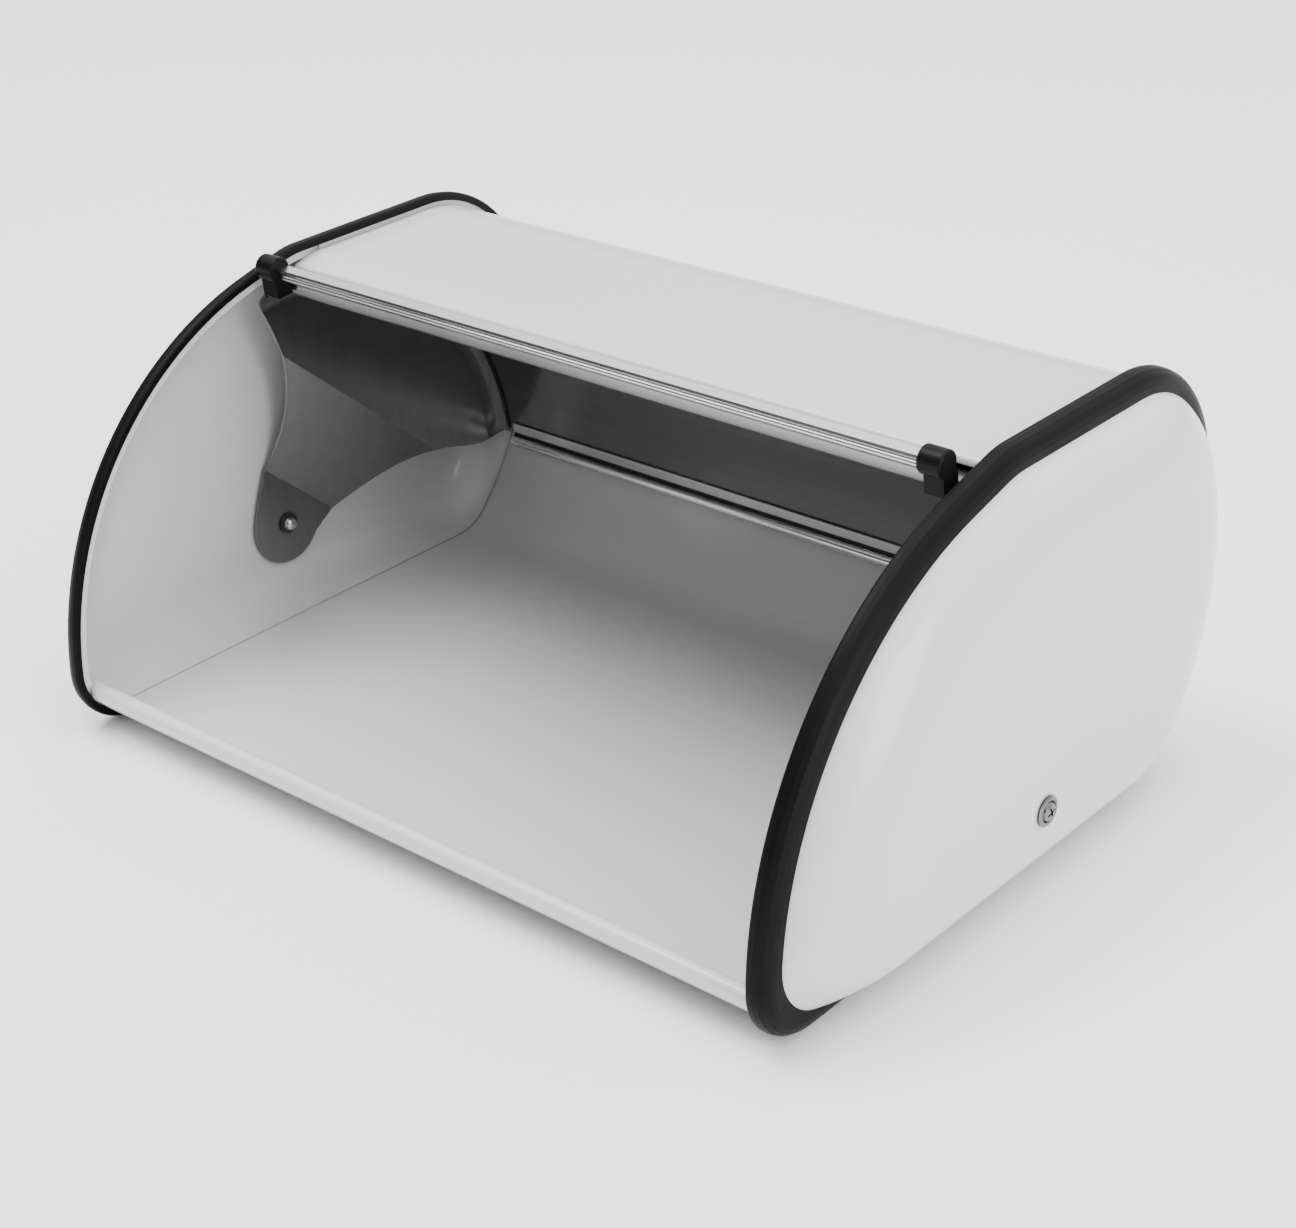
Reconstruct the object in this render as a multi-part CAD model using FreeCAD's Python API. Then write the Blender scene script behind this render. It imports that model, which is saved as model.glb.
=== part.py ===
import FreeCAD, Part
import math
import os

# Bread box with a roll top: a wrapped sheet body between two domed side panels,
# black edge trims around both panels, and a curved lid that swings on two arms
# about one axis and parks under the top.
#
# Millimetres. X runs left to right, Y front to back, Z up.
# The origin is the middle of the box's outline on the surface it stands on.
# Outlines of the side view are written from the lid's pivot: y to the back, z up.
# The box is drawn with its lid open.

V = FreeCAD.Vector

# ---- overall sizes -------------------------------------------------------
trim_crest_span = 383.4        # between the crests of the two edge trims
pivot_height = 42.0            # pivot axis above the surface
lid_radius = 129.6             # outside of the lid about the pivot
lid_to_top = 14.4              # flat top of the trims beyond the lid's radius
lid_to_front = 31.5            # radius of the outline's front arc beyond the lid's
lid_to_back = 1.8              # radius of the outline's back arc beyond the lid's
front_arc_centre = (13.2, -19.3)
back_arc_centre = (20.9, 59.9)
top_slope = 14.6               # degrees, where the flat top turns towards the front
top_slope_radius = 45.0
front_corner_radius = 28.3     # corner radii of the side outline at the trim's crest
floor_corner_radius = 32.0
top_corner_radius = 62.0
front_corner_deep = 34.0       # the same corners, well inside the side panel's rim
floor_corner_deep = 30.0
top_corner_deep = 46.0
corner_settle = 3.0            # depth over which one corner radius turns into the other

# ---- sheet metal ---------------------------------------------------------
sheet = 0.8                    # body, side panels and lid
seam_gap = 0.05                # between pieces that are pressed together
shell_inset = 6.0              # body sheet inside the trim's crest
flange_inset = 1.2             # outer edge of the flanges on the body sheet and side panels
lip_bend_y = 15.6              # bend between the flat top and the front lip
lip_slope = 15.5
lip_flat = 11.3
lip_bend_radius = 9.0
hem_radius = 2.2               # curl along the lip's front edge
hem_sweep = 245.0              # degrees of curl
front_turn_radius = 10.0       # the floor turns up to the front rail
front_rail_centre = (-137.0, -24.2)
front_rail_radius = 4.2
front_rail_wall = 0.8

# ---- domed side panels, as distances outboard of the crest and inwards ---
panel_rim_x = 0.0
dome_reach = 26.5              # flat outer face of the dome
dome_inset = 44.0              # inset at which the dome is flat
dome_rise = 32.5               # half axes of the dome's rounded shoulder
dome_run = 37.9
dome_start = 14.2              # degrees round the shoulder where it meets the rim
flat_below_pivot = 12.9        # the shoulder is narrower along the floor, to leave this flat

# ---- edge trims: distance outboard of the crest, inset -------------------
trim_inner_x = -2.0
trim_leg_inset = 3.6           # inner leg where the box is open at the front
trim_edge_levels = ((trim_inner_x, 1.0), (-1.4, 0.25))
trim_flat_start = -0.7         # the crest is flat between these
trim_flat_end = 1.2
trim_round_reach = 6.4         # half axes of the rounded outer side
trim_round_inset = 8.75

# ---- lid -----------------------------------------------------------------
lid_front_angle = 94.8         # degrees from the back, lid open
lid_rear_angle = 4.2
lid_past_crest = 1.3           # the lid's sides run behind the trims
rail_leaf = 1.05               # thickness of the leaves that hold the sheet
handle_leaf_reach = 4.0
handle_inner_leaf = 0.4
handle_overlap = 6.0           # handle inside each end cap
cap_length = 10.5
cap_radius = 5.7
cap_trim_gap = 5.1
cap_centre = (8.0, 14.3)       # from the sheet's end: along the sheet, outwards
rear_leaf_reach = 6.2
rear_bead_radius = 3.0
rear_bead_drop = 2.2
rear_rail_gap = 4.0            # between the rear rail's ends and the arms
seal_width = 1.1
seal_depth = 0.9

# ---- lid arms ------------------------------------------------------------
arm_sheet = 1.0
arm_margin = 0.5               # inside the lid's side edge
arm_bend_reach = 12.2          # the bend towards the lid, along the radius
arm_bend_width = 3.6
arm_flange_reach = 5.0
arm_lean = 48.6                # degrees, the direction across the arm's folds
arm_fold_lug = 16.8            # folds, as distances from the pivot
arm_fold_fan = 64.4
arm_lug_radius = 20.0
arm_pattern_radius = 129.6     # lid that the edge points below are drawn for
arm_front_edge = ((-15.0, 19.0), (-7.4, 39.3), (-4.1, 63.5), (-8.6, 90.7), (-16.3, 113.5),
                  (-20.2, 122.0))
arm_front_corner = ((-19.9, 125.8), (-16.0, 127.9))
arm_low_edge = ((113.7, 8.4), (98.0, 11.3), (82.5, 15.2), (68.7, 15.2), (44.1, 6.5),
                (28.7, -2.8))

# ---- pivots --------------------------------------------------------------
shank_radius = 2.0
shank_clearance = 0.1
panel_hole_radius = 2.6
bush_flange = 2.0
bush_flange_radius = 7.0
bush_sleeve_radius = 3.3
pivot_clearance = 0.05
axial_clearance = 0.08
washer_radius = 4.9
washer_thickness = 1.0
nut_radius = 3.1
nut_height = 3.4
nut_thread_depth = 2.2
cup_radius = 6.4
cup_height = 1.4
head_radius = 4.3
head_height = 2.2
recess_width = 0.9
recess_length = 4.6
recess_depth = 1.2

# ---- worked out from the sizes above -------------------------------------
crest_x = trim_crest_span / 2
top_height = lid_radius + lid_to_top
front_arc_radius = lid_radius + lid_to_front
back_arc_radius = lid_radius + lid_to_back
panel_inset = shell_inset + sheet + seam_gap
panel_rim_depth = panel_inset + sheet
shell_end_x = panel_rim_x - seam_gap
floor_share = (pivot_height - flat_below_pivot - panel_inset) / (dome_inset - panel_inset)
front_corner_rise = front_corner_radius - pivot_height - front_arc_centre[1]
front_reach = math.sqrt((front_arc_radius - front_corner_radius) ** 2 - front_corner_rise ** 2)
outline_front = front_arc_centre[0] - front_reach - front_corner_radius
outline_back = back_arc_centre[0] + back_arc_radius
pivot_y = -(outline_front + outline_back) / 2
arm_scale = lid_radius / arm_pattern_radius
dome_face = crest_x + dome_reach
lug_face = dome_face - sheet - bush_flange
washer_face = lug_face - arm_sheet - 2 * axial_clearance


def unit(angle):
    a = math.radians(angle)
    return (math.cos(a), math.sin(a))


def shifted(point, direction, distance):
    return (point[0] + direction[0] * distance, point[1] + direction[1] * distance)


def at(x, point):
    """A point of the side view, placed in the box's frame at width x."""
    return V(x, point[0] + pivot_y, point[1] + pivot_height)


def line(x, a, b):
    return Part.makeLine(at(x, a), at(x, b))


def arc(x, a, middle, b):
    return Part.Arc(at(x, a), at(x, middle), at(x, b)).toShape()


def arc_about(x, centre, radius, start, end):
    """An arc of the side view from one angle to another, in degrees."""
    ends = [shifted(centre, unit(a), radius) for a in (start, (start + end) / 2, end)]
    return arc(x, *ends)


def angle_of(centre, point):
    """The direction from one point to another, from -90 up to 270 degrees."""
    angle = math.degrees(math.atan2(point[1] - centre[1], point[0] - centre[0]))
    return (angle + 90) % 360 - 90


def corner(radius, deep, inset):
    """A corner radius: a true offset at the rim, turning into another one deeper in."""
    rim = radius - min(inset, panel_rim_depth)
    deeper = max(0.0, inset - panel_rim_depth)
    return rim + (deep - rim) * (1 - math.exp(-deeper / corner_settle))


def floor_level(inset):
    """Height of the outline's floor line above the pivot."""
    deeper = max(0.0, inset - panel_inset)
    return inset - deeper * (1 - floor_share) - pivot_height


def outline(inset):
    """Corner centres, radii and tangent angles of the side outline, inset inwards."""
    o = {}
    o["front_r"] = front_arc_radius - inset
    o["back_r"] = back_arc_radius - inset
    o["top"] = top_height - inset
    o["floor"] = floor_level(inset)
    corners = (
        ("front_floor", front_arc_centre, o["front_r"], front_corner_radius,
         front_corner_deep, o["floor"], 1, -1),
        ("back_floor", back_arc_centre, o["back_r"], floor_corner_radius,
         floor_corner_deep, o["floor"], 1, 1),
        ("back_top", back_arc_centre, o["back_r"], top_corner_radius,
         top_corner_deep, o["top"], -1, 1),
    )
    for name, centre, big, radius, deep, level, up, side in corners:
        r = corner(radius, deep, inset)
        z = level + up * r
        y = centre[0] + side * math.sqrt((big - r) ** 2 - (z - centre[1]) ** 2)
        o[name] = (y, z)
        o[name + "_r"] = r
        o[name + "_angle"] = angle_of(centre, (y, z))
    a = math.radians(top_slope)
    touch = shifted(front_arc_centre, (-math.sin(a), math.cos(a)), o["front_r"])
    fold_y = touch[0] + (o["top"] - touch[1]) / math.tan(a)
    reach = top_slope_radius * math.tan(a / 2)
    o["slope_low"] = touch
    o["slope_high"] = shifted((fold_y, o["top"]), (math.cos(a), math.sin(a)), -reach)
    o["fold_end"] = (fold_y + reach, o["top"])
    return o


def side_wire(x, inset):
    """The closed side outline at width x."""
    o = outline(inset)
    fold = shifted(o["fold_end"], (0, -1), top_slope_radius)
    edges = [
        line(x, (o["front_floor"][0], o["floor"]), (o["back_floor"][0], o["floor"])),
        arc_about(x, o["back_floor"], o["back_floor_r"], -90, o["back_floor_angle"]),
        arc_about(x, back_arc_centre, o["back_r"], o["back_floor_angle"], o["back_top_angle"]),
        arc_about(x, o["back_top"], o["back_top_r"], o["back_top_angle"], 90),
        line(x, (o["back_top"][0], o["top"]), o["fold_end"]),
        arc_about(x, fold, top_slope_radius, 90, 90 + top_slope),
        line(x, o["slope_high"], o["slope_low"]),
        arc_about(x, front_arc_centre, o["front_r"], 90 + top_slope, o["front_floor_angle"]),
        arc_about(x, o["front_floor"], o["front_floor_r"], o["front_floor_angle"], 270),
    ]
    return Part.Wire(edges)


def prism(wire, length):
    return Part.Face(wire).extrude(V(length, 0, 0))


def sheet_path(x, inset, hem, bend, turn):
    """The body sheet's line from the curl of the lip round to the front rail."""
    o = outline(inset)
    along = unit(lip_slope)
    normal = unit(90 + lip_slope)
    slant = math.tan(math.radians(lip_slope / 2))
    vertex = (lip_bend_y + slant * (inset - shell_inset), o["top"])
    reach = bend * slant
    lip_end = shifted(vertex, along, -lip_flat)
    curl = shifted(lip_end, normal, -hem)
    bend_start = shifted(vertex, along, -reach)
    bend_end = (vertex[0] + reach, vertex[1])
    bend_centre = (bend_end[0], bend_end[1] - bend)
    turn_centre = (front_rail_centre[0] - sheet / 2 + front_turn_radius,
                   floor_level(shell_inset) + front_turn_radius)
    edges = [
        arc_about(x, curl, hem, 90 + lip_slope + hem_sweep, 90 + lip_slope),
        line(x, lip_end, bend_start),
        arc_about(x, bend_centre, bend, 90 + lip_slope, 90),
        line(x, bend_end, (o["back_top"][0], o["top"])),
        arc_about(x, o["back_top"], o["back_top_r"], 90, o["back_top_angle"]),
        arc_about(x, back_arc_centre, o["back_r"], o["back_top_angle"], o["back_floor_angle"]),
        arc_about(x, o["back_floor"], o["back_floor_r"], o["back_floor_angle"], -90),
        line(x, (o["back_floor"][0], o["floor"]), (turn_centre[0], o["floor"])),
        arc_about(x, turn_centre, turn, 270, 180),
    ]
    return edges


def wire_ends(edges):
    """The free ends of the lip's curl and of the front corner."""
    return edges[0].Vertexes[0].Point, edges[-1].Vertexes[-1].Point


def rod(centre, radius, x_start, x_end):
    return Part.makeCylinder(radius, x_end - x_start, at(x_start, centre), V(1, 0, 0))


def block_between(x_start, x_end, low, high):
    """A box between two corners of the side view."""
    return Part.makeBox(x_end - x_start, high[0] - low[0], high[1] - low[1], at(x_start, low))


def open_zone(x_start, x_end, spare):
    """Where the body sheet is missing at the sides: the front opening and its corners."""
    corner_y = outline(0)["front_floor"][0]
    lip_y = lip_bend_y + 2 * lip_bend_radius * math.tan(math.radians(lip_slope / 2))
    far = 2 * top_height
    front = block_between(x_start, x_end, (-far, -pivot_height / 2), (lip_y + spare, far))
    low = block_between(x_start, x_end, (-far, -far), (corner_y + spare, -pivot_height / 2))
    return front.fuse(low)


def flange(x_start, inner_inset):
    """A flat ring of sheet that stands on a seam."""
    plate = prism(side_wire(x_start, flange_inset), sheet)
    return plate.cut(prism(side_wire(x_start, inner_inset), sheet))


def body_shell():
    """One wrapped sheet: lip, top, back, floor and the upturned front edge."""
    half = crest_x + shell_end_x
    outer = sheet_path(-half, shell_inset, hem_radius, lip_bend_radius, front_turn_radius)
    inner = sheet_path(-half, shell_inset + sheet, hem_radius - sheet,
                       lip_bend_radius - sheet, front_turn_radius - sheet)
    caps = [Part.makeLine(a, b) for a, b in zip(wire_ends(outer), wire_ends(inner))]
    wire = Part.Wire(Part.__sortEdges__(outer + inner + caps))
    shell = prism(wire, 2 * half)
    seam = flange(half - sheet, shell_inset + sheet / 2)
    seam = seam.cut(open_zone(half - sheet, half, 0))
    shell = shell.fuse(seam).fuse(mirrored(seam)).removeSplitter()
    return shell.cut(rod(front_rail_centre, front_rail_radius + seam_gap, -half - 1, half + 1))


def front_rail():
    """Tube along the front edge, its ends shaped to the insides of the side panels."""
    half = crest_x + dome_reach
    bar = rod(front_rail_centre, front_rail_radius, -half, half)
    bar = bar.cut(rod(front_rail_centre, front_rail_radius - front_rail_wall, -half, half))
    rim_x = crest_x + panel_rim_x - seam_gap
    between = rod(front_rail_centre, front_rail_radius + 1, -rim_x, rim_x)
    end_room = dome(sheet + seam_gap)
    return bar.common(between.fuse(end_room).fuse(mirrored(end_room)))


def dome(inwards):
    """The solid inside a domed side panel's skin, inwards from its outer face."""
    levels = []
    for share in (0, 0.2, 0.4, 0.6, 0.8, 1):
        c, s = unit(dome_start + (90 - dome_start) * share)
        levels.append(side_wire(dome_face - dome_rise + (dome_rise - inwards) * s,
                                dome_inset - (dome_run - inwards) * c))
    rim = side_wire(crest_x + panel_rim_x - abs(inwards), panel_inset + inwards)
    skirt = Part.makeLoft([rim, levels[0]], True, True)
    return skirt.fuse(Part.makeLoft(levels, True, False)).removeSplitter()


def side_panel():
    skin = dome(0).cut(dome(sheet))
    skin = skin.fuse(flange(crest_x + panel_rim_x, panel_inset + sheet / 2)).removeSplitter()
    return skin.cut(rod((0, 0), panel_hole_radius, crest_x, crest_x + 60))


def trim_levels():
    """The trim's outside as distances outboard of the crest and insets."""
    levels = list(trim_edge_levels) + [(trim_flat_start, 0.0)]
    for angle in (0, 20, 40, 60, 75, 90):
        c, s = unit(angle)
        levels.append((trim_flat_end + trim_round_reach * s, trim_round_inset * (1 - c)))
    return levels


def edge_trim():
    """A ring of plastic edging over the flanged seam of body sheet and side panel."""
    rings = [side_wire(crest_x + x, inset) for x, inset in trim_levels()]
    ring = Part.makeLoft(rings, True, True)
    start = crest_x + trim_inner_x - 1
    shell_side = crest_x + shell_end_x - sheet - seam_gap
    panel_side = crest_x + shell_end_x
    slot_end = crest_x + panel_rim_x + sheet + seam_gap
    slot = flange_inset - seam_gap
    open_front = open_zone(start, slot_end, -seam_gap)
    seam_room = prism(side_wire(start, shell_inset - seam_gap), shell_side - start)
    seam_room = seam_room.fuse(prism(side_wire(shell_side, slot), slot_end - shell_side))
    front_room = prism(side_wire(start, trim_leg_inset), panel_side - start)
    front_room = front_room.fuse(prism(side_wire(panel_side, slot), slot_end - panel_side))
    ring = ring.cut(seam_room.cut(open_front)).cut(front_room)
    rail_notch = rod(front_rail_centre, front_rail_radius + seam_gap, start, panel_side)
    return ring.cut(dome(-seam_gap)).cut(rail_notch)


def lid_half():
    return crest_x + lid_past_crest


def ring_sector(outer, inner, start, end, x_start, x_end):
    """A curved strip about the pivot between two radii and two angles."""
    edges = [
        arc_about(x_start, (0, 0), outer, start, end),
        line(x_start, shifted((0, 0), unit(end), outer), shifted((0, 0), unit(end), inner)),
        arc_about(x_start, (0, 0), inner, end, start),
        line(x_start, shifted((0, 0), unit(start), inner), shifted((0, 0), unit(start), outer)),
    ]
    return prism(Part.Wire(edges), x_end - x_start)


def lid_sheet():
    r = lid_radius
    return ring_sector(r, r - sheet, lid_rear_angle, lid_front_angle, -lid_half(), lid_half())


def sheet_end(angle, direction):
    """Origin and axes at an end of the lid sheet: along the sheet, and outwards."""
    origin = shifted((0, 0), unit(angle), lid_radius - sheet / 2)
    return origin, unit(angle + 90 * direction), unit(angle)


def placed(frame, point):
    origin, along, out = frame
    return shifted(shifted(origin, along, point[0]), out, point[1])


def section(x_start, x_end, frame, points):
    wire = Part.makePolygon([at(x_start, placed(frame, p)) for p in points + points[:1]])
    return prism(wire, x_end - x_start)


def sheet_room():
    """Room for the lid sheet in the slots of the rails along its ends."""
    r = lid_radius
    more = math.degrees(seam_gap / r)
    return ring_sector(r + seam_gap, r - sheet - seam_gap, lid_rear_angle - more,
                       lid_front_angle + more, -lid_half() - 1, lid_half() + 1)


def handle_frame():
    return sheet_end(lid_front_angle, 1)


def handle_blank(x_start, x_end):
    """The handle's section: leaves, a web that stands outwards and a hooked grip."""
    leaf = sheet / 2 + seam_gap + rail_leaf
    low = sheet / 2 + seam_gap + handle_inner_leaf
    points = [
        (-handle_leaf_reach, -low), (0.3, -low), (0.8, 0.2), (1.1, 1.6), (2.2, 5.1), (3.0, 6.3),
        (7.8, 9.1), (8.9, 10.5), (9.0, 11.2), (8.6, 11.6), (9.2, 12.1), (9.2, 12.7),
        (8.8, 13.0), (9.4, 13.5), (9.9, 14.4), (9.3, 15.3), (4.2, 15.4), (3.3, 15.0),
        (1.6, 9.0), (-0.3, 5.4), (-0.3, leaf), (-handle_leaf_reach, leaf),
    ]
    return section(x_start, x_end, handle_frame(), points).cut(sheet_room())


def cap_outer():
    return crest_x + trim_inner_x - cap_trim_gap


def handle_rail():
    half = cap_outer() - cap_length + handle_overlap
    return handle_blank(-half, half)


def handle_cap():
    """Round end cap with a foot that closes the corner of the lid."""
    frame = handle_frame()
    x_end = cap_outer()
    x_start = x_end - cap_length
    knob = rod(placed(frame, cap_centre), cap_radius, x_start, x_end)
    knob = knob.makeFillet(0.8, [e for e in knob.Edges if e.BoundBox.XLength < 0.01])
    foot = section(x_start + 1.4, x_end - 0.2, frame, [
        (2.0, 0.9), (10.2, 0.9), (11.0, 1.7), (11.0, 9.5), (8.0, 13.0), (4.0, 13.0), (2.0, 9.5)])
    cap = knob.fuse(foot).removeSplitter()
    room = handle_blank(x_start - 1, x_start + handle_overlap + seam_gap)
    return cap.cut(room)


def rear_frame():
    return sheet_end(lid_rear_angle, -1)


def rear_half():
    return lid_half() - arm_margin - arm_flange_reach - rear_rail_gap


def rear_rail():
    """Rail along the lid's rear edge, between the arms: leaves and a rounded bead."""
    frame = rear_frame()
    half = rear_half()
    leaf = sheet / 2 + seam_gap + rail_leaf
    thin = sheet / 2 + seam_gap + 0.35
    points = [
        (-rear_leaf_reach, -leaf), (-rear_leaf_reach + 0.4, -leaf - 0.3), (3.0, -leaf - 0.3),
        (3.0, thin - 0.5), (0.8, thin), (-rear_leaf_reach, thin)]
    leaves = section(-half, half, frame, points)
    middle = seam_gap + rear_bead_radius
    bead = rod(placed(frame, (middle, -rear_bead_drop)), rear_bead_radius, -half, half)
    groove = rod(placed(frame, (middle + 0.6, -rear_bead_drop - rear_bead_radius)), 0.45,
                 -half - 1, half + 1)
    rail = leaves.fuse(bead).removeSplitter().cut(groove)
    return rail.cut(sheet_room()).cut(seal_blank(seam_gap, half + 1))


def seal_blank(clearance, half):
    leaf = sheet / 2 + seam_gap + rail_leaf + 0.3
    low = -1.2 - clearance
    high = low + seal_width + 2 * clearance
    return section(-half, half, rear_frame(), [
        (low, -leaf - 0.4), (high, -leaf - 0.4),
        (high, -leaf + seal_depth + clearance), (low, -leaf + seal_depth + clearance)])


def rear_seal():
    return seal_blank(0, rear_half() - 0.5)


def scaled(points):
    return [(y * arm_scale, z * arm_scale) for y, z in points]


def arm_outline(x):
    """The arm in side view: lug, neck and a fan out to the lid."""
    radius = lid_radius - sheet
    lug_front = shifted((0, 0), unit(172), arm_lug_radius)
    lug_rear = shifted((0, 0), unit(-32), arm_lug_radius)
    rear_tip = shifted((0, 0), unit(lid_rear_angle + 1.0), radius)
    front_tip = shifted((0, 0), unit(angle_of((0, 0), arm_front_corner[1])), radius)
    middle = shifted((0, 0), unit(arm_lean), radius)
    front = Part.BSplineCurve()
    front_points = scaled(arm_front_edge)
    front_corner = scaled(arm_front_corner)
    front.interpolate([at(x, p) for p in [lug_front] + front_points])
    low = Part.BSplineCurve()
    low.interpolate([at(x, p) for p in [rear_tip] + scaled(arm_low_edge) + [lug_rear]])
    edges = [
        front.toShape(),
        arc(x, front_points[-1], front_corner[0], front_tip),
        arc(x, front_tip, middle, rear_tip),
        low.toShape(),
        arc(x, lug_rear, (0, -arm_lug_radius), lug_front),
    ]
    return Part.Wire(edges)


def arm_plate():
    """Flat pieces of the arm between its folds, before it is cut to outline."""
    along = unit(arm_lean)
    across = unit(arm_lean + 90)
    fan = lid_half() - arm_margin
    span = 2 * lid_radius
    side = shifted((0, 0), across, -span / 2)
    stations = [(-2 * arm_lug_radius, lug_face - axial_clearance),
                (arm_fold_lug, lug_face - axial_clearance), (arm_fold_fan * arm_scale, fan),
                (span, fan)]
    outer = [at(x, shifted(side, along, reach)) for reach, x in stations]
    inner = [p - V(arm_sheet, 0, 0) for p in reversed(outer)]
    face = Part.Face(Part.makePolygon(outer + inner + outer[:1]))
    return face.extrude(V(0, across[0] * span, across[1] * span))


def arm_bend():
    """The rounded bend and flange that lie against the lid, turned about the pivot."""
    fan = lid_half() - arm_margin
    top = lid_radius - sheet - seam_gap
    base = top - arm_bend_reach
    end = fan - arm_flange_reach

    def bend(thickness):
        width = arm_bend_width - thickness
        reach = arm_bend_reach - thickness
        half = math.sqrt(0.5)
        x = fan - arm_bend_width + width * half
        return (fan - thickness, base), (x, base + reach * half), (fan - arm_bend_width, base + reach)

    low, middle, high = bend(0)
    in_low, in_middle, in_high = bend(arm_sheet)

    def spot(point):
        return at(point[0], (point[1], 0))

    corners = [high, (end, top), (end, top - arm_sheet), in_high]
    edges = [Part.Arc(spot(low), spot(middle), spot(high)).toShape()]
    edges += [Part.makeLine(spot(a), spot(b)) for a, b in zip(corners, corners[1:])]
    edges.append(Part.Arc(spot(in_high), spot(in_middle), spot(in_low)).toShape())
    edges.append(Part.makeLine(spot(in_low), spot(low)))
    face = Part.Face(Part.Wire(edges))
    return face.revolve(at(0, (0, 0)), V(1, 0, 0), 110), base


def lid_arm():
    """One folded sheet: lug near the dome, a slanted neck, a fan and its flange."""
    bend, base = arm_bend()
    plate = arm_plate().common(rod((0, 0), base, crest_x - 40, crest_x + 40))
    arm = plate.fuse(bend).common(prism(arm_outline(crest_x - 40), 100)).removeSplitter()
    hole = rod((0, 0), bush_sleeve_radius + pivot_clearance, crest_x, crest_x + 60)
    return arm.cut(hole)


def turned(points):
    """A solid turned about the pivot axis from (x, radius) points."""
    face = Part.Face(Part.makePolygon([at(x, (0, r)) for x, r in points + points[:1]]))
    return face.revolve(at(0, (0, 0)), V(1, 0, 0), 360)


def tube(x_start, x_end, outer, inner):
    return turned([(x_start, inner), (x_end, inner), (x_end, outer), (x_start, outer)])


def pivot_bush():
    """Spacer between dome and arm; the arm's lug turns on its sleeve."""
    face = dome_face - sheet
    bore = shank_radius + shank_clearance
    return turned([(face, bore), (face, bush_flange_radius), (lug_face, bush_flange_radius),
                   (lug_face, bush_sleeve_radius), (washer_face, bush_sleeve_radius),
                   (washer_face, bore)])


def pivot_washer():
    return tube(washer_face - washer_thickness, washer_face, washer_radius,
                shank_radius + shank_clearance)


def pivot_nut():
    """Domed nut on the inside."""
    base = washer_face - washer_thickness
    bore = shank_radius + pivot_clearance
    steps = [(base, bore), (base, nut_radius), (base - 0.6, nut_radius + 0.3)]
    for angle in (0, 15, 30, 45, 60, 75):
        c, s = unit(angle)
        steps.append((base - 1.4 - (nut_height - 1.4) * s, nut_radius * c))
    steps.append((base - nut_height, 0))
    steps.append((base - nut_thread_depth, 0))
    steps.append((base - nut_thread_depth, bore))
    return turned(steps)


def cup_washer():
    """Dished ring under the screw's head, on the outside of the dome."""
    face = dome_face
    bore = shank_radius + shank_clearance
    return turned([
        (face, bore), (face, cup_radius - 0.3), (face + 0.4, cup_radius),
        (face + 0.9, cup_radius), (face + cup_height, cup_radius - 0.9),
        (face + cup_height, head_radius + 0.4), (face + 0.5, head_radius - 0.3),
        (face + 0.5, bore)])


def pivot_screw():
    face = dome_face
    seat = face + 0.5
    tip = washer_face - washer_thickness - nut_thread_depth + 0.3
    crown = head_radius - 0.5
    steps = [(tip, 0), (tip, shank_radius), (seat, shank_radius), (seat, head_radius - 0.5)]
    for angle in (0, 25, 50, 75):
        c, s = unit(angle)
        steps.append((seat + 0.7 + (head_height - 0.7) * s, crown * c + 0.2 * (1 - s)))
    steps.append((seat + head_height, 0))
    screw = turned(steps)
    depth_start = seat + head_height - recess_depth
    for turn in (0, 90):
        blade = Part.makeBox(recess_depth + 1, recess_length, recess_width,
                             V(depth_start, -recess_length / 2, -recess_width / 2))
        blade.rotate(V(0, 0, 0), V(1, 0, 0), turn + 20)
        blade.translate(at(0, (0, 0)))
        screw = screw.cut(blade)
    return screw


def mirrored(shape):
    return shape.mirror(V(0, 0, 0), V(1, 0, 0))


single = {
    "body_shell": body_shell,
    "front_rail": front_rail,
    "lid_sheet": lid_sheet,
    "handle_rail": handle_rail,
    "rear_rail": rear_rail,
    "rear_seal": rear_seal,
}
paired = {
    "side_panel": side_panel,
    "edge_trim": edge_trim,
    "handle_cap": handle_cap,
    "lid_arm": lid_arm,
    "pivot_bush": pivot_bush,
    "pivot_washer": pivot_washer,
    "pivot_nut": pivot_nut,
    "pivot_cup_washer": cup_washer,
    "pivot_screw": pivot_screw,
}

nodes = {name: make() for name, make in single.items()}
for name, make in paired.items():
    right = make()
    nodes[name + "_right"] = right
    nodes[name + "_left"] = mirrored(right)

os.makedirs("parts", exist_ok=True)
for name, shape in nodes.items():
    shape.exportStep("parts/" + name + ".step")
    print(name, "solids", len(shape.Solids), "valid", shape.isValid(), "volume", round(shape.Volume, 1))
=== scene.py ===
import bpy
from mathutils import Matrix, Vector


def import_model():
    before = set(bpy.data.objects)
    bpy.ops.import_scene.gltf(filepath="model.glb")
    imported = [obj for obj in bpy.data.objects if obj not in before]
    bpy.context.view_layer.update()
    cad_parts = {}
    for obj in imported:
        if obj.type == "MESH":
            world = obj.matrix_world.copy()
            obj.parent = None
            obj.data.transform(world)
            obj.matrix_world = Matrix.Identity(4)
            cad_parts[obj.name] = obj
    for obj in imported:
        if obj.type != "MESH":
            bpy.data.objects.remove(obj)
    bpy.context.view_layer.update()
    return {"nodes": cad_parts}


# Looks, floor, light and camera for the bread box with roll top. Metres, Z up.
# Every material is procedural and is fixed to the piece it is on.

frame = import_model()
nodes = frame["nodes"]

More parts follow.
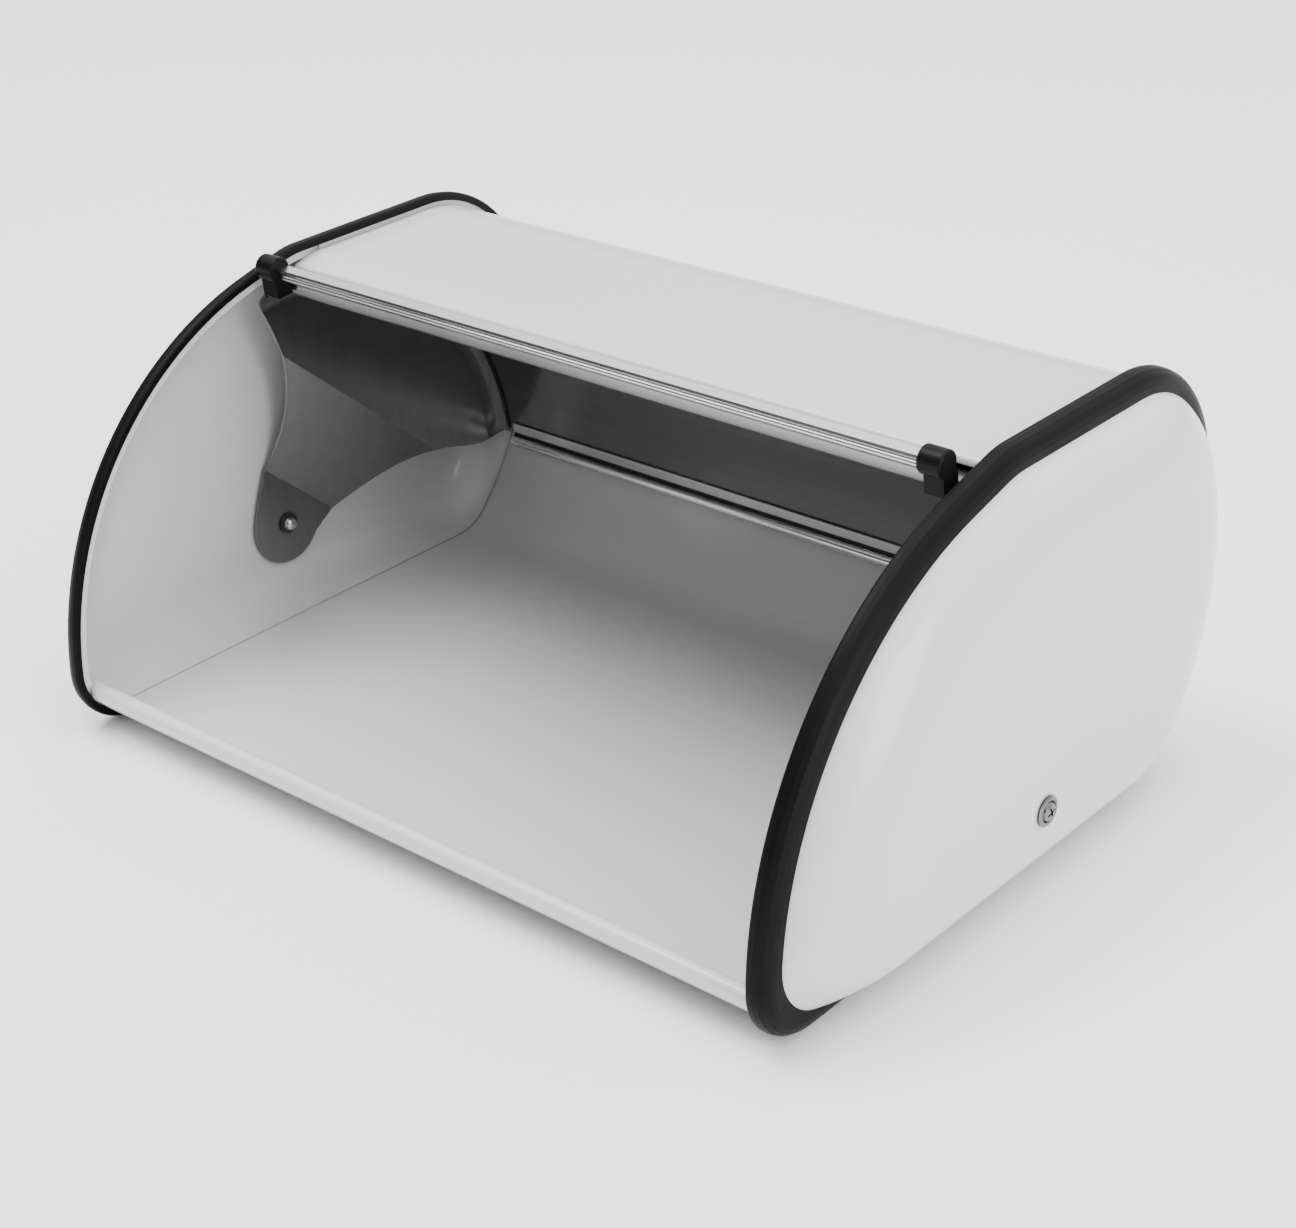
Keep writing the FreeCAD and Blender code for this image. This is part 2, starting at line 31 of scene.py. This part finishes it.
# ---- floor and camera -------------------------------------------------------
FLOOR_SIZE = 240.0
FLOOR_DROP = 0.0004                           # just under the trims
PIVOT = Vector((0.0, -0.002259, 0.042))       # the lid's hinge
CAMERA_OFFSET = Vector((0.65828, -0.70237, 0.51448))    # from the hinge
CAMERA_RIGHT = Vector((0.75080, 0.65915, -0.04263))
CAMERA_UP = Vector((-0.27907, 0.37503, 0.88401))
CAMERA_BACK = Vector((0.59869, -0.65182, 0.46552))
CAMERA_NEAR = 0.01
SENSOR_WIDTH = 36.0                           # millimetres
LENS_LENGTH = 70.13292
LENS_SHIFT = (0.0059406, 0.0127269)           # shares of the picture's width

# ---- light --------------------------------------------------------------------
SKY_LOW = 0.05                                # near the horizon in front
SKY_HIGH = 2.6                                # overhead
SKY_BRIGHTEST = (0.20, 0.38, 0.90)            # direction of the brightest sky
SKY_FULL_AT = 0.95                            # dot product with it where the sky is SKY_HIGH
AREA_LIGHTS = (
    # name, place, aim, width and height, watts
    ("key", (-0.8, -0.55, 2.3), (0, 0, 0.08), (1.4, 1.0), 52),
    ("fill right", (2.2, -0.35, 0.9), (0.2, 0, 0.09), (1.0, 1.6), 34),
    ("top", (0.2, 0.4, 2.2), (0, 0, 0.1), (1.6, 1.0), 16),
)

# ---- colours, and noise scales along x, y and z (small along the streaks) -------
BLACK = (0.004, 0.004, 0.0043)
BRIGHT = (0.86, 0.86, 0.87)
ALONG_RAIL = (3.0, 900.0, 900.0)
ALONG_LID = (6.0, 260.0, 260.0)
DOWN_ARM = (260.0, 260.0, 10.0)
NO_STREAKS = (300.0, 300.0, 300.0)
# the painted shade on the handle fades out at this share of its height
SHADE_UP_TO = 0.70                          # share of the handle's height


# ---- node helpers -----------------------------------------------------------------
def new_material(name):
    mat = bpy.data.materials.new(name)
    mat.use_nodes = True
    tree = mat.node_tree
    tree.nodes.clear()
    out = tree.nodes.new("ShaderNodeOutputMaterial")
    shader = tree.nodes.new("ShaderNodeBsdfPrincipled")
    tree.links.new(shader.outputs[0], out.inputs[0])
    return mat, tree, shader


def is_socket(value):
    return hasattr(value, "is_linked")


def grey(level):
    return (level, level, level)


def shade(color, factor):
    return tuple(min(1, c * factor) for c in color)


def coords(tree, scale=(1, 1, 1)):
    tex = tree.nodes.new("ShaderNodeTexCoord")
    mapping = tree.nodes.new("ShaderNodeMapping")
    mapping.inputs["Scale"].default_value = scale
    tree.links.new(tex.outputs["Object"], mapping.inputs[0])
    return mapping.outputs[0]


def noise(tree, vector, scale, detail, roughness=0.5):
    n = tree.nodes.new("ShaderNodeTexNoise")
    n.inputs["Scale"].default_value = scale
    n.inputs["Detail"].default_value = detail
    n.inputs["Roughness"].default_value = roughness
    tree.links.new(vector, n.inputs["Vector"])
    return n.outputs["Fac"]


def remap(tree, value, low, high, from_low=0.3, from_high=0.7):
    m = tree.nodes.new("ShaderNodeMapRange")
    m.inputs["From Min"].default_value = from_low
    m.inputs["From Max"].default_value = from_high
    m.inputs["To Min"].default_value = low
    m.inputs["To Max"].default_value = high
    tree.links.new(value, m.inputs["Value"])
    return m.outputs[0]


def mix_color(tree, factor, a, b):
    """Colour a where the factor is 0, and b where it is 1."""
    m = tree.nodes.new("ShaderNodeMix")
    m.data_type = "RGBA"
    tree.links.new(factor, m.inputs["Factor"])
    for key, value in (("A", a), ("B", b)):
        socket = [s for s in m.inputs if s.name == key and s.type == "RGBA"][0]
        if is_socket(value):
            tree.links.new(value, socket)
        else:
            socket.default_value = (*value, 1.0)
    return [s for s in m.outputs if s.type == "RGBA"][0]


def math_node(tree, operation, a, b):
    m = tree.nodes.new("ShaderNodeMath")
    m.operation = operation
    for i, value in enumerate((a, b)):
        if is_socket(value):
            tree.links.new(value, m.inputs[i])
        else:
            m.inputs[i].default_value = value
    return m.outputs[0]


def bump(tree, shader, height, strength, distance):
    b = tree.nodes.new("ShaderNodeBump")
    b.inputs["Strength"].default_value = strength
    b.inputs["Distance"].default_value = distance
    tree.links.new(height, b.inputs["Height"])
    tree.links.new(b.outputs[0], shader.inputs["Normal"])


def edge_mask(tree, radius, strength):
    """Up to the given strength on sharp edges, 0 on flat places."""
    bevel = tree.nodes.new("ShaderNodeBevel")
    bevel.inputs["Radius"].default_value = radius
    bevel.samples = 4
    geometry = tree.nodes.new("ShaderNodeNewGeometry")
    dot = tree.nodes.new("ShaderNodeVectorMath")
    dot.operation = "DOT_PRODUCT"
    tree.links.new(bevel.outputs[0], dot.inputs[0])
    tree.links.new(geometry.outputs["Normal"], dot.inputs[1])
    edge = remap(tree, dot.outputs["Value"], low=1.0, high=0.0, from_low=0.75, from_high=0.99)
    return math_node(tree, "MULTIPLY", edge, strength)


def painted_crevice_shade(tree, reach):
    """Painted shade mask: 1 in the open, falling towards 0 deep in a groove or against a seam.
    """
    hidden = tree.nodes.new("ShaderNodeAmbientOcclusion")
    hidden.samples = 6
    hidden.inputs["Distance"].default_value = reach
    return remap(tree, hidden.outputs["AO"], low=0.0, high=1.0, from_low=0.25, from_high=0.95)


# ---- materials ----------------------------------------------------------------------
def white_enamel(name, base, rough, coat):
    """Glossy paint: faint clouds, orange peel, worn edges and painted shade along seams."""
    mat, tree, shader = new_material(name)
    v = coords(tree)
    cloud = noise(tree, v, scale=9.0, detail=3.0)
    peel = noise(tree, v, scale=420.0, detail=2.0)
    col = mix_color(tree, cloud, base, shade(base, 0.96))
    col = mix_color(tree, edge_mask(tree, radius=0.0006, strength=0.25), col, shade(base, 0.85))
    # painted shade: darker deep in grooves and against seams
    col = mix_color(tree, painted_crevice_shade(tree, reach=0.003), shade(base, 0.45), col)
    tree.links.new(col, shader.inputs["Base Color"])
    gloss = remap(tree, cloud, low=rough - 0.04, high=rough + 0.06, from_low=0.0, from_high=1.0)
    tree.links.new(gloss, shader.inputs["Roughness"])
    shader.inputs["Coat Weight"].default_value = coat
    shader.inputs["Coat Roughness"].default_value = 0.08
    shader.inputs["Specular IOR Level"].default_value = 0.5
    bump(tree, shader, peel, strength=0.10, distance=0.00015)
    return mat


def black_satin(name, base, rough, specular):
    """Satin plastic or rubber: fine grain, dust specks and rubbed edges."""
    mat, tree, shader = new_material(name)
    v = coords(tree)
    cloud = noise(tree, v, scale=40.0, detail=4.0)
    grain = noise(tree, v, scale=900.0, detail=2.0)
    dust = noise(tree, v, scale=260.0, detail=6.0, roughness=0.7)
    speck = remap(tree, dust, low=0.0, high=0.22, from_low=0.66, from_high=0.80)
    col = mix_color(tree, speck, base, shade(base, 4))
    col = mix_color(tree, edge_mask(tree, radius=0.0005, strength=0.30), col, shade(base, 5))
    tree.links.new(col, shader.inputs["Base Color"])
    gloss = remap(tree, cloud, low=rough - 0.05, high=rough + 0.08)
    tree.links.new(gloss, shader.inputs["Roughness"])
    shader.inputs["Specular IOR Level"].default_value = specular
    bump(tree, shader, grain, strength=0.16, distance=0.0001)
    return mat


def drawn_metal(name, base, direction, rough, streak, shade_reach=0.012, shaded_below=None):
    """Drawn metal: streaks, painted highlights on edges, and painted shade in grooves and
    sheltered places.

    direction is a noise scale along x, y and z. shade_reach is the reach of the wider
    painted shade. shaded_below is a pair of heights, in the piece's own frame: full
    painted shade at the first and none at the second.
    """
    mat, tree, shader = new_material(name)
    lines = noise(tree, coords(tree, direction), scale=1.0, detail=4.0, roughness=0.6)
    cloud = noise(tree, coords(tree), scale=14.0, detail=3.0)
    col = mix_color(tree, remap(tree, lines, low=0.0, high=1.0), base, shade(base, 0.90))
    # painted highlight: brighter on sharp edges
    col = mix_color(tree, edge_mask(tree, radius=0.0004, strength=0.35), col, shade(base, 1.25))
    # painted shade: darker deep in grooves, and more widely in sheltered places
    col = mix_color(tree, painted_crevice_shade(tree, reach=0.0022), shade(base, 0.22), col)
    col = mix_color(tree, painted_crevice_shade(tree, reach=shade_reach), shade(base, 0.30), col)
    # painted shade: darker towards the bottom, below the second height
    if shaded_below:
        height = tree.nodes.new("ShaderNodeSeparateXYZ")
        tree.links.new(coords(tree), height.inputs[0])
        lit_share = remap(tree, height.outputs["Z"], low=0.0, high=1.0, from_low=shaded_below[0],
                       from_high=shaded_below[1])
        col = mix_color(tree, lit_share, shade(base, 0.22), col)
    tree.links.new(col, shader.inputs["Base Color"])
    shader.inputs["Metallic"].default_value = 1.0
    gloss = math_node(tree, "ADD", remap(tree, lines, low=rough, high=rough + streak),
                      remap(tree, cloud, low=-0.02, high=0.03))
    tree.links.new(gloss, shader.inputs["Roughness"])
    bump(tree, shader, lines, strength=0.05, distance=0.00008)
    return mat


def handle_shade_heights():
    """Heights between which the painted shade on the handle fades, from darkest at its bottom
    to none.
    """
    heights = [corner[2] for corner in nodes["handle_rail"].bound_box]
    low = min(heights)
    return low, low + SHADE_UP_TO * (max(heights) - low)


def give_looks():
    white = white_enamel("white enamel outside", grey(0.62), rough=0.24, coat=0.35)
    fastener = drawn_metal("fastener steel", grey(0.20), NO_STREAKS, rough=0.16, streak=0.08)
    looks = {
        "body_shell": white,
        "side_panel": white,
        "front_rail": white_enamel("white rail", grey(0.68), rough=0.22, coat=0.4),
        "edge_trim": black_satin("trim black", BLACK, rough=0.40, specular=0.07),
        "handle_cap": black_satin("cap black", BLACK, rough=0.36, specular=0.10),
        "rear_seal": black_satin("seal rubber", grey(0.014), rough=0.55, specular=0.3),
        "handle_rail": drawn_metal("handle aluminium", BRIGHT, ALONG_RAIL, rough=0.17,
                                   streak=0.07, shaded_below=handle_shade_heights()),
        # the rear rail's wider painted shade reaches only 4 mm
        "rear_rail": drawn_metal("bright aluminium", BRIGHT, ALONG_RAIL, rough=0.17,
                                 streak=0.07, shade_reach=0.004),
        "lid_sheet": drawn_metal("lid steel", grey(0.32), ALONG_LID, rough=0.16, streak=0.05),
        "lid_arm": drawn_metal("arm steel", grey(0.31), DOWN_ARM, rough=0.20, streak=0.06),
        "pivot_screw": fastener,
        "pivot_cup_washer": fastener,
        "pivot_washer": black_satin("washer dark", grey(0.02), rough=0.4, specular=0.4),
        "pivot_nut": drawn_metal("nut steel", grey(0.62), NO_STREAKS, rough=0.20, streak=0.08),
        "pivot_bush": white_enamel("bush nylon", (0.60, 0.60, 0.58), rough=0.45, coat=0.0),
    }
    for name, obj in nodes.items():
        key = name.removesuffix("_left").removesuffix("_right")
        obj.data.materials.clear()
        obj.data.materials.append(looks[key])


# ---- floor, light and camera ------------------------------------------------------------
def floor():
    bpy.ops.mesh.primitive_plane_add(size=FLOOR_SIZE, location=(0, 0, -FLOOR_DROP))
    plane = bpy.context.object
    plane.name = "floor"
    mat, tree, shader = new_material("pale floor")
    cloud = noise(tree, coords(tree), scale=3.0, detail=3.0)
    tint = mix_color(tree, remap(tree, cloud, low=0.0, high=1.0), grey(0.97), grey(0.96))
    tree.links.new(tint, shader.inputs["Base Color"])
    shader.inputs["Roughness"].default_value = 0.7
    plane.data.materials.append(mat)


def world():
    """Soft sky: bright overhead and behind the box, dim near the horizon in front."""
    sky = bpy.data.worlds.new("studio")
    bpy.context.scene.world = sky
    sky.use_nodes = True
    tree = sky.node_tree
    background = tree.nodes["Background"]
    background.inputs[0].default_value = (1, 1, 1, 1)
    toward = tree.nodes.new("ShaderNodeVectorMath")
    toward.operation = "DOT_PRODUCT"
    toward.inputs[1].default_value = SKY_BRIGHTEST
    direction = tree.nodes.new("ShaderNodeTexCoord").outputs["Generated"]
    tree.links.new(direction, toward.inputs[0])
    level = remap(tree, toward.outputs["Value"], low=SKY_LOW, high=SKY_HIGH, from_low=0.0,
                  from_high=SKY_FULL_AT)
    tree.links.new(level, background.inputs[1])


def area(name, place, target, size, watts):
    light = bpy.data.lights.new(name, "AREA")
    light.shape = "RECTANGLE"
    light.size = size[0]
    light.size_y = size[1]
    light.energy = watts
    obj = bpy.data.objects.new(name, light)
    bpy.context.collection.objects.link(obj)
    obj.location = place
    aim = Vector(target) - Vector(place)
    obj.rotation_euler = aim.to_track_quat("-Z", "Y").to_euler()


def camera():
    cam = bpy.data.cameras.new("camera")
    obj = bpy.data.objects.new("camera", cam)
    bpy.context.collection.objects.link(obj)
    turn = Matrix((CAMERA_RIGHT, CAMERA_UP, CAMERA_BACK)).transposed().to_4x4()
    obj.matrix_world = Matrix.Translation(PIVOT + CAMERA_OFFSET) @ turn
    cam.sensor_width = SENSOR_WIDTH
    cam.lens = LENS_LENGTH
    cam.shift_x = LENS_SHIFT[0]
    cam.shift_y = LENS_SHIFT[1]
    cam.clip_start = CAMERA_NEAR
    bpy.context.scene.camera = obj


give_looks()
floor()
world()
camera()
for light in AREA_LIGHTS:
    area(*light)
